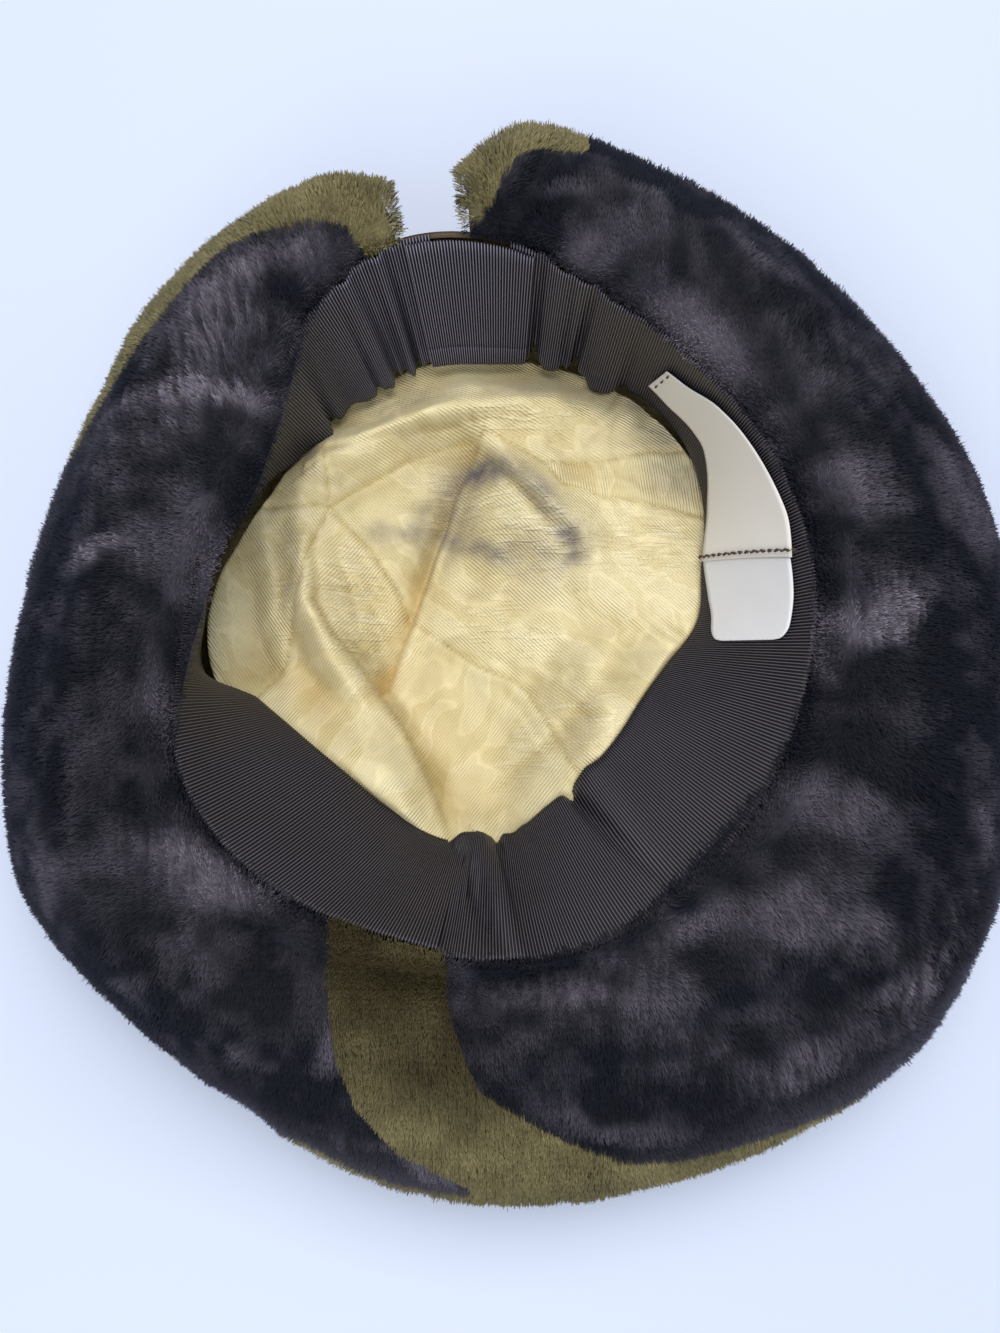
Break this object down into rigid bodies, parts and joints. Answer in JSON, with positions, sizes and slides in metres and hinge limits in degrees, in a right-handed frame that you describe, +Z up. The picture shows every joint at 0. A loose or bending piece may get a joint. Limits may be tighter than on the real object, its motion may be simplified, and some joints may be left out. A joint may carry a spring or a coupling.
{
  "type": "soft brocade hat with a plush brim",
  "caption": "Soft pieced brocade hat with a wide split brim of short plush and a grosgrain ribbon sweatband, lying upside down on its crushed crown.",
  "frame": {"origin": "middle of the hat's box, on the surface that the crown rests on", "axes": "+Z up out of the head opening, since the hat lies upside down; +Y towards the back of the hat, where the brim is split; +X to the right as one looks down into the opening"},
  "size_m": [0.2986, 0.3156, 0.0949],
  "materials": {
    "ribbon": "ribbed dark brown grosgrain",
    "brocade": "reverse of a cream brocade, painted dark on the outside",
    "fur_dark": "short charcoal plush with mauve-grey patches",
    "fur_olive": "short olive plush",
    "label_satin": "plain white satin, bare",
    "label_tape": "plain white tape, bare"
  },
  "bodies": {
    "root": {"sweatband": "ribbon", "sweatband_back_lap": "ribbon", "satin_label": "label_satin", "care_label": "label_tape", "crown_panel_back": "brocade", "crown_panel_gusset": "brocade", "crown_panel_right": "brocade", "crown_panel_front": "brocade", "crown_panel_left": "brocade", "crown_panel_corner": "brocade", "brim_under_fur_left": "fur_dark", "brim_under_fur_right": "fur_dark", "brim_olive_panel": "fur_olive", "brim_upper_fur": "fur_olive"}
  },
  "joints": []
}
